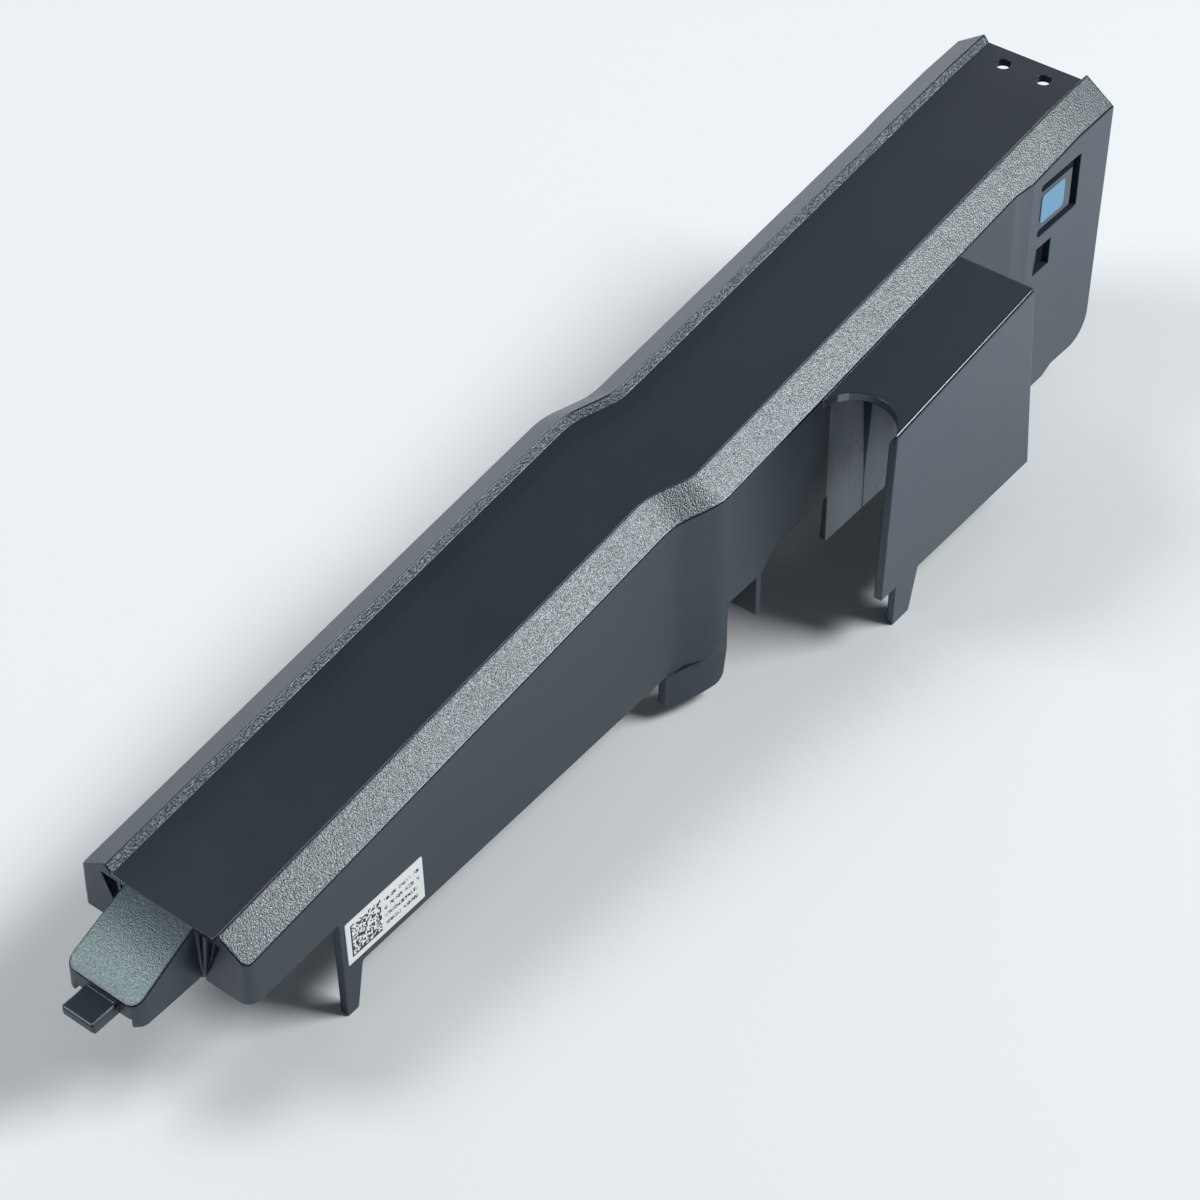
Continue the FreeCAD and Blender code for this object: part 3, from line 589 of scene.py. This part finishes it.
class BAFFLE_PG_studio(bpy.types.PropertyGroup):
    key_power: FloatProperty(
        name="Key", description="Power of the tall soft light on the right", unit="POWER", default=30.0,
        min=0.0,
    )
    back_power: FloatProperty(
        name="Back", description="Power of the dim light behind the far end", unit="POWER", default=1.6,
        min=0.0,
    )
    side_power: FloatProperty(
        name="Side", description="Power of the low soft light on the left", unit="POWER", default=4.6,
        min=0.0,
    )
    front_power: FloatProperty(
        name="Front", description="Power of the soft light over the nose", unit="POWER", default=8.0,
        min=0.0,
    )
    room_light: FloatProperty(
        name="Room", description="Strength of the room's even light", default=0.14, min=0.0,
    )
    focal_length: FloatProperty(
        name="Lens", description="Focal length of the camera", unit="CAMERA", default=87.907, min=10.0,
    )


def textured_edges(shape, sharp):
    """The sharp outer edges of the textured bands and the ramp, and the near lip of the floor."""
    bands = {FINISHES.index(name) for name in ("coarse_band", "fine_slope", "inner_band")}
    ramp = FINISHES.index("ramp_grain")
    floor = FINISHES.index("satin_floor")
    found = []
    for edge in shape.edges:
        if len(edge.link_faces) != 2 or not edge.is_convex or edge.calc_face_angle(0.0) < sharp:
            continue
        middle = (edge.verts[0].co + edge.verts[1].co) / 2.0
        kinds = {face.material_index for face in edge.link_faces}
        side = min(face.normal.z for face in edge.link_faces)
        on_ramp = ramp in kinds and side < 0.4 and middle.z > RAMP_FOOT
        on_lip = floor in kinds and middle.x < NEAR_END + FLOOR_LIP
        if kinds & bands or on_ramp or on_lip:
            found.append(edge)
    return found


def round_over(shape, edges, width):
    """Rounds edges of the moulding and gives the new faces their smooth finish."""
    bmesh.ops.bevel(
        shape, geom=edges, offset=width, segments=3, profile=0.5, affect="EDGES", clamp_overlap=False,
        material=FINISHES.index("smooth_edge"),
    )


class BAFFLE_OT_moulding(bpy.types.Operator):
    """Dresses the moulded shroud: rounded edges and one finish for each of its textured surfaces"""

    bl_idname = "baffle.moulding"
    bl_label = "Shroud moulding"

    def execute(self, context):
        sizes = context.scene.baffle_sizes
        shape = solid_of("shroud_body")
        cut_across(shape, NOTCH, on_right_wall)
        for station in (DROOP - SOFT_BEND, DROOP + SOFT_BEND):
            cut_across(shape, station, on_slope)
        for face in shape.faces:
            face.material_index = FINISHES.index(finish_at(face.calc_center_median(), face.normal))
        round_over(shape, textured_edges(shape, sizes.sharp_angle), sizes.edge_round)
        finishes = shroud_finishes(context.scene.baffle_look)
        piece = piece_from("moulding", shape, finishes, sizes.sharp_angle)
        shading = piece.modifiers.new("flat_faces_stay_flat", "WEIGHTED_NORMAL")
        shading.mode = "FACE_AREA"
        shading.keep_sharp = True
        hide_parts("shroud_body")
        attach(piece, "root")
        return {"FINISHED"}


def runs_across(edge):
    """Whether an edge goes through the label's thickness."""
    run = edge.verts[1].co - edge.verts[0].co
    return abs(run.normalized().y) > 0.9


class BAFFLE_OT_label(bpy.types.Operator):
    """Makes the paper label on the wall, with rounded corners and its unreadable print"""

    bl_idname = "baffle.label"
    bl_label = "Paper label"

    def execute(self, context):
        scene = context.scene
        low, high = (Vector(corner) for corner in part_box("label"))
        shape = solid_of("label")
        corners = [edge for edge in shape.edges if runs_across(edge)]
        bmesh.ops.bevel(
            shape, geom=corners, offset=scene.baffle_sizes.label_corner, segments=4, profile=0.5,
            affect="EDGES", material=-1,
        )
        paper = paper_finish(scene.baffle_look, scene.baffle_print, low, high)
        piece = piece_from("paper_label", shape, [paper], SHEET_SHARP)
        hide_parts("label")
        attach(piece, "root")
        return {"FINISHED"}


class BAFFLE_OT_touch_mark(bpy.types.Operator):
    """Makes the blue touch mark on the latch"""

    bl_idname = "baffle.touch_mark"
    bl_label = "Touch mark"

    def execute(self, context):
        shape = solid_of("touch_mark")
        piece = piece_from("blue_mark", shape, [mark_finish(context.scene.baffle_look)], SHEET_SHARP)
        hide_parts("touch_mark")
        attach(piece, "root")
        return {"FINISHED"}


def soft_light(name, target, place, wide, tall, power):
    """A rectangular soft light that looks at a point."""
    lamp = bpy.data.lights.new(name, "AREA")
    lamp.shape = "RECTANGLE"
    lamp.size = wide
    lamp.size_y = tall
    lamp.energy = power
    holder = link(name, lamp)
    holder.location = place
    holder.rotation_euler = (target - place).to_track_quat("-Z", "Y").to_euler()


class BAFFLE_OT_studio(bpy.types.Operator):
    """Sets up the pale floor, the soft lights and the camera"""

    bl_idname = "baffle.studio"
    bl_label = "Studio"

    def execute(self, context):
        scene = context.scene
        studio = scene.baffle_studio
        shape = bmesh.new()
        bmesh.ops.create_grid(shape, x_segments=2, y_segments=2, size=scene.baffle_sizes.floor_span / 2.0)
        finish = Finish("studio_floor", specular_ior_level=0.2)
        tone = finish.noise(finish.place(), 0.4, 2.0, 0.5)
        colour = scene.baffle_look.backdrop
        finish.set("Base Color", finish.blend(tone, rgba(colour, 0.985), rgba(colour)))
        finish.set("Roughness", 0.7 + tone * 0.1)
        floor = piece_from("studio_floor", shape, [finish.material], SHEET_SHARP)

        middle = Vector((0.0, 0.0, 0.04))
        nose = Vector((NEAR_END, MIDDLE, 0.04))
        soft_light(
            "key_light", middle, Vector((0.70, -0.97, 1.39)), wide=0.76, tall=0.60, power=studio.key_power,
        )
        soft_light(
            "back_light", middle, Vector((1.12, 0.45, 0.90)), wide=0.9, tall=0.9, power=studio.back_power,
        )
        soft_light(
            "side_light", middle, Vector((0.65, 1.2, 0.42)), wide=1.0, tall=0.36, power=studio.side_power,
        )
        above_nose = nose + Vector((-0.38, 0.66, 1.04))
        soft_light("front_light", nose, above_nose, wide=0.5, tall=0.5, power=studio.front_power)
        world = bpy.data.worlds.new("room")
        world.use_nodes = True
        air = world.node_tree.nodes["Background"]
        air.inputs["Color"].default_value = ROOM_TINT
        air.inputs["Strength"].default_value = studio.room_light
        scene.world = world

        lens = bpy.data.cameras.new("camera")
        lens.lens = studio.focal_length
        lens.sensor_width = 36.0
        lens.clip_start = 0.01
        camera = link("camera", lens)
        camera.location = CAMERA_PLACE
        camera.rotation_euler = Euler(CAMERA_TURN)
        scene.camera = camera
        scene.view_settings.view_transform = "Standard"
        return {"FINISHED"}


OPERATORS = (BAFFLE_OT_moulding, BAFFLE_OT_label, BAFFLE_OT_touch_mark, BAFFLE_OT_studio)

GROUPS = {
    "baffle_look": BAFFLE_PG_look,
    "baffle_sizes": BAFFLE_PG_sizes,
    "baffle_print": BAFFLE_PG_print,
    "baffle_studio": BAFFLE_PG_studio,
}


class BAFFLE_PT_panel(bpy.types.Panel):
    """Lists the operators, and the sizes, colours and lights that they use"""

    bl_idname = "BAFFLE_PT_panel"
    bl_label = "Air baffle"
    bl_space_type = "VIEW_3D"
    bl_region_type = "UI"
    bl_category = "Baffle"

    def draw(self, context):
        for operator in OPERATORS:
            self.layout.operator(operator.bl_idname)
        for name, group in GROUPS.items():
            box = self.layout.box()
            for setting in group.__annotations__:
                box.prop(getattr(context.scene, name), setting)


CLASSES = (*GROUPS.values(), *OPERATORS, BAFFLE_PT_panel)


def register():
    for kind in CLASSES:
        bpy.utils.register_class(kind)
    for name, group in GROUPS.items():
        setattr(bpy.types.Scene, name, PointerProperty(type=group))


def unregister():
    for name in GROUPS:
        delattr(bpy.types.Scene, name)
    for kind in reversed(CLASSES):
        bpy.utils.unregister_class(kind)


def main():
    register()
    bpy.ops.baffle.moulding()
    bpy.ops.baffle.label()
    bpy.ops.baffle.touch_mark()
    bpy.ops.baffle.studio()


if __name__ == "__main__":
    main()
